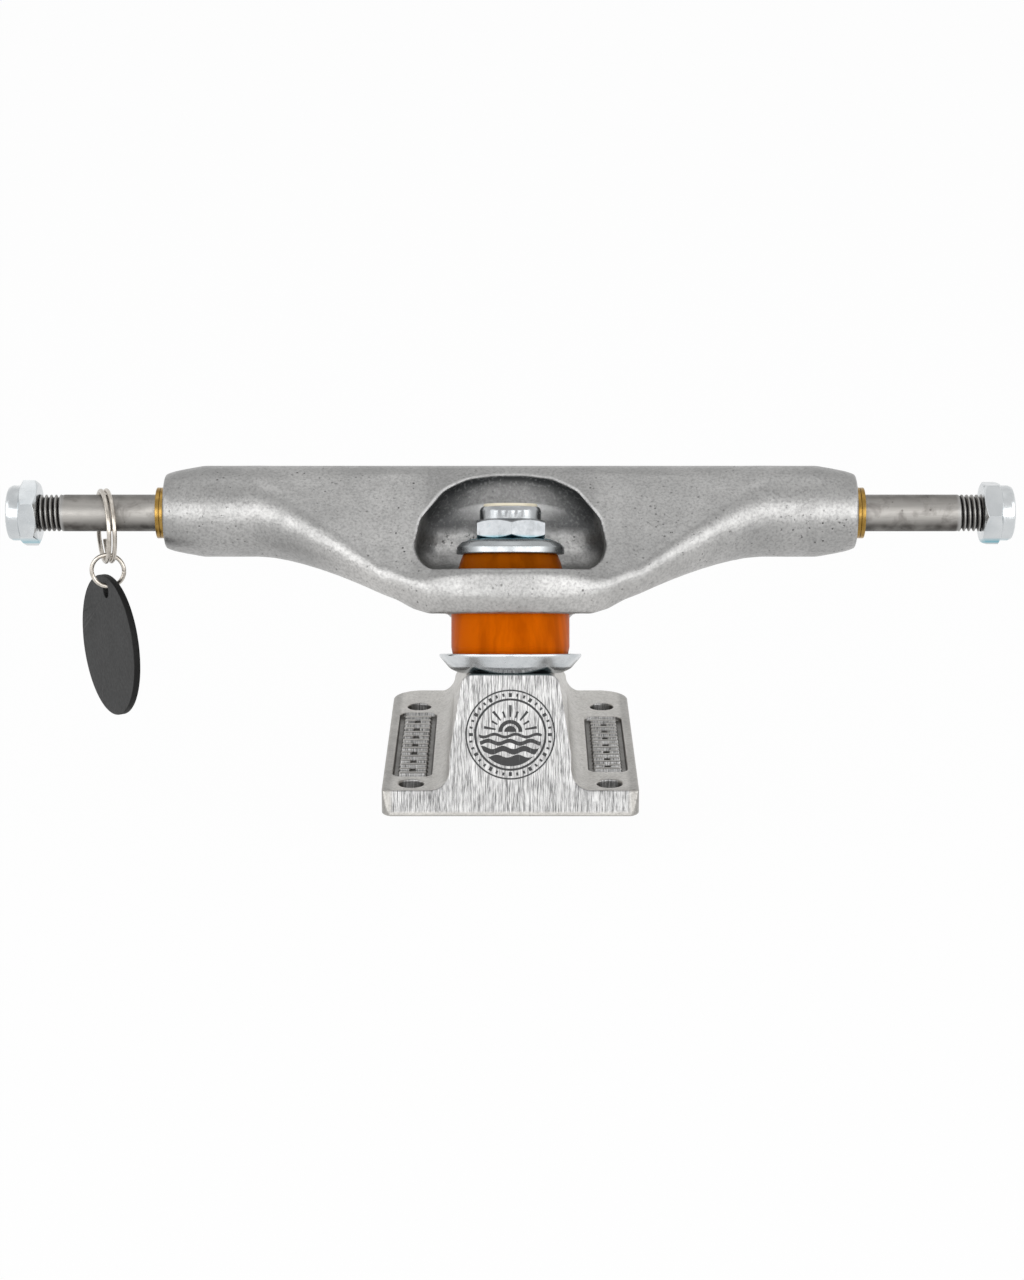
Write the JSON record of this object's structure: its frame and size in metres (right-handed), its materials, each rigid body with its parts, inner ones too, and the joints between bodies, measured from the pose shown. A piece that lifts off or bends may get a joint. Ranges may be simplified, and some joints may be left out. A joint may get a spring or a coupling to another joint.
{
  "type": "skateboard truck",
  "caption": "Skateboard truck with a cast baseplate and hanger, sprung steering on urethane bushings, a threaded axle with lock nuts, and a round tag hung on one axle end.",
  "frame": {"origin": "middle of the deck bolt pattern, on the mounting face", "axes": "+X along the axle, +Y from the kingpin end to the pivot end, +Z away from the deck"},
  "size_m": [0.217, 0.0728, 0.0646],
  "materials": {
    "base_casting": "cast, front face brushed",
    "hanger_casting": "tumbled casting with fine pits",
    "bright_zinc": "bright zinc",
    "kingpin_steel": "satin",
    "axle_steel": "bare turned steel",
    "bushing_urethane": "glossy orange urethane",
    "cup_urethane": "satin orange urethane",
    "nylon": "satin nylon",
    "ring_brass": "yellow plated",
    "ring_nickel": "warm nickel",
    "tag_plastic": "matt dark grey"
  },
  "bodies": {
    "base": {"baseplate": "base_casting", "pivot_cup": "cup_urethane", "kingpin": "kingpin_steel", "bottom_cup_washer": "bright_zinc", "bottom_bushing": "bushing_urethane", "top_bushing": "bushing_urethane", "top_cup_washer": "bright_zinc", "kingpin_nut": "bright_zinc", "kingpin_nut_insert": "nylon"},
    "hanger": {"hanger": "hanger_casting", "axle": "axle_steel"},
    "speed_ring_left_inner": {"speed_ring_left_inner": "ring_brass"},
    "speed_ring_left_outer": {"speed_ring_left_outer": "ring_brass"},
    "speed_ring_right_inner": {"speed_ring_right_inner": "ring_brass"},
    "speed_ring_right_outer": {"speed_ring_right_outer": "ring_brass"},
    "nut_left": {"axle_nut_left": "bright_zinc", "axle_nut_left_insert": "nylon"},
    "nut_right": {"axle_nut_right": "bright_zinc", "axle_nut_right_insert": "nylon"},
    "split_ring": {"split_ring": "ring_nickel"},
    "jump_ring": {"jump_ring": "ring_nickel"},
    "tag": {"tag": "tag_plastic"}
  },
  "joints": [
    {"name": "steer", "type": "hinge", "parent": "base", "child": "hanger", "pos_m": [0, -0.01028, 0.04191], "axis": [0, 0.8508, -0.5255], "range_deg": [-14, 14], "stiffness_Nm_per_rad": 30, "deforming": ["bottom_bushing", "top_bushing"]},
    {"name": "ring_left_inner_slide", "type": "slide", "parent": "hanger", "child": "speed_ring_left_inner", "axis": [-1, 0, 0], "range_m": [0, 0.003]},
    {"name": "ring_left_outer_slide", "type": "slide", "parent": "speed_ring_left_inner", "child": "speed_ring_left_outer", "axis": [-1, 0, 0], "range_m": [0, 0.003]},
    {"name": "ring_right_inner_slide", "type": "slide", "parent": "hanger", "child": "speed_ring_right_inner", "axis": [1, 0, 0], "range_m": [0, 0.012]},
    {"name": "ring_right_outer_slide", "type": "slide", "parent": "speed_ring_right_inner", "child": "speed_ring_right_outer", "axis": [1, 0, 0], "range_m": [0, 0.012]},
    {"name": "axle_nut_left_off", "type": "slide", "parent": "hanger", "child": "nut_left", "axis": [-1, 0, 0], "range_m": [0, 0.045]},
    {"name": "axle_nut_right_off", "type": "slide", "parent": "hanger", "child": "nut_right", "axis": [1, 0, 0], "range_m": [0, 0.045]},
    {"name": "split_ring_swing", "type": "hinge", "parent": "hanger", "child": "split_ring", "pos_m": [-0.0876, 0.01031, 0.05421], "axis": [1, 0, 0], "range_deg": [-60, 60]},
    {"name": "jump_ring_swing", "type": "hinge", "parent": "split_ring", "child": "jump_ring", "pos_m": [-0.0876, 0.01031, 0.04361], "axis": [-0.2924, 0.9563, 0], "range_deg": [-20, 20]},
    {"name": "tag_swing", "type": "hinge", "parent": "jump_ring", "child": "tag", "pos_m": [-0.0876, 0.01031, 0.03781], "axis": [1, 0, 0], "range_deg": [-25, 25]}
  ]
}
